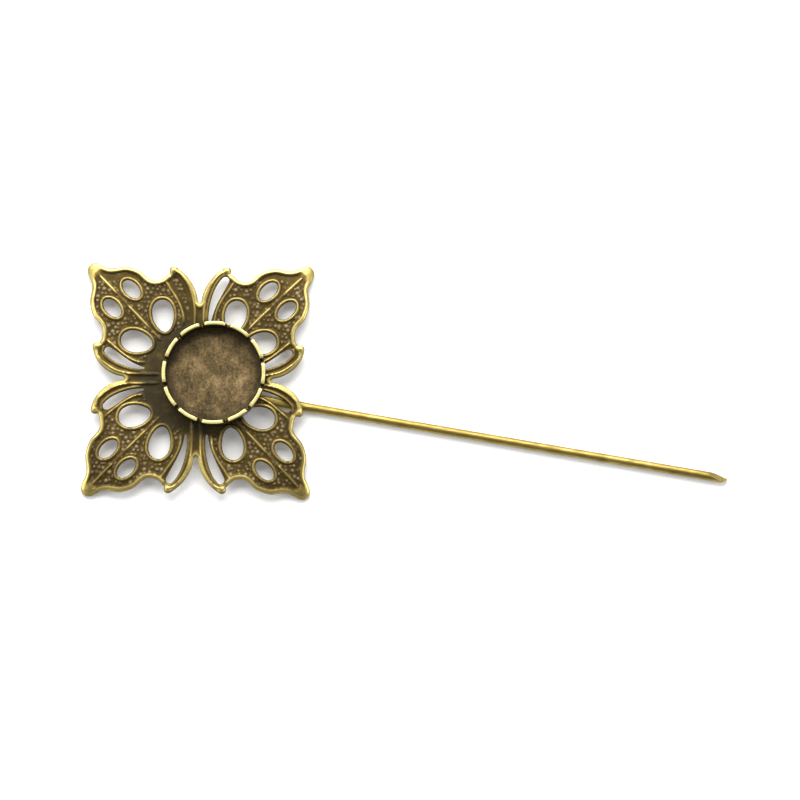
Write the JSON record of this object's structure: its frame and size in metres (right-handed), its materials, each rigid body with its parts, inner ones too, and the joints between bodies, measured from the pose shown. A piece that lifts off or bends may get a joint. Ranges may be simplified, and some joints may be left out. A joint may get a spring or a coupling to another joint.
{
  "type": "hat pin",
  "caption": "Hat pin: a pierced leaf filigree plate that carries a crown-edge cup for a round stone, soldered to a straight wire stem with a bevelled point.",
  "frame": {"origin": "middle of the cup's floor, where the stone sits", "axes": "+Z out of the cup, +X the way the stem points to within its soldered angle, +Y completes the frame; the plate's sides are square to X and Y"},
  "size_m": [0.0964, 0.0353, 0.0052],
  "materials": {
    "plate_brass": "antique brass, dark patina in the ground and worn gold on the edges",
    "cup_brass": "antique brass, pale worn rim and dark mottled floor",
    "stem_brass": "antique brass wire, semi-gloss",
    "solder_brass": "plated solder, dull and slightly rough"
  },
  "bodies": {
    "root": {"filigree_plate": "plate_brass", "bezel_cup": "cup_brass", "pin_stem": "stem_brass", "stem_solder": "solder_brass", "cup_solder": "solder_brass"}
  },
  "joints": []
}
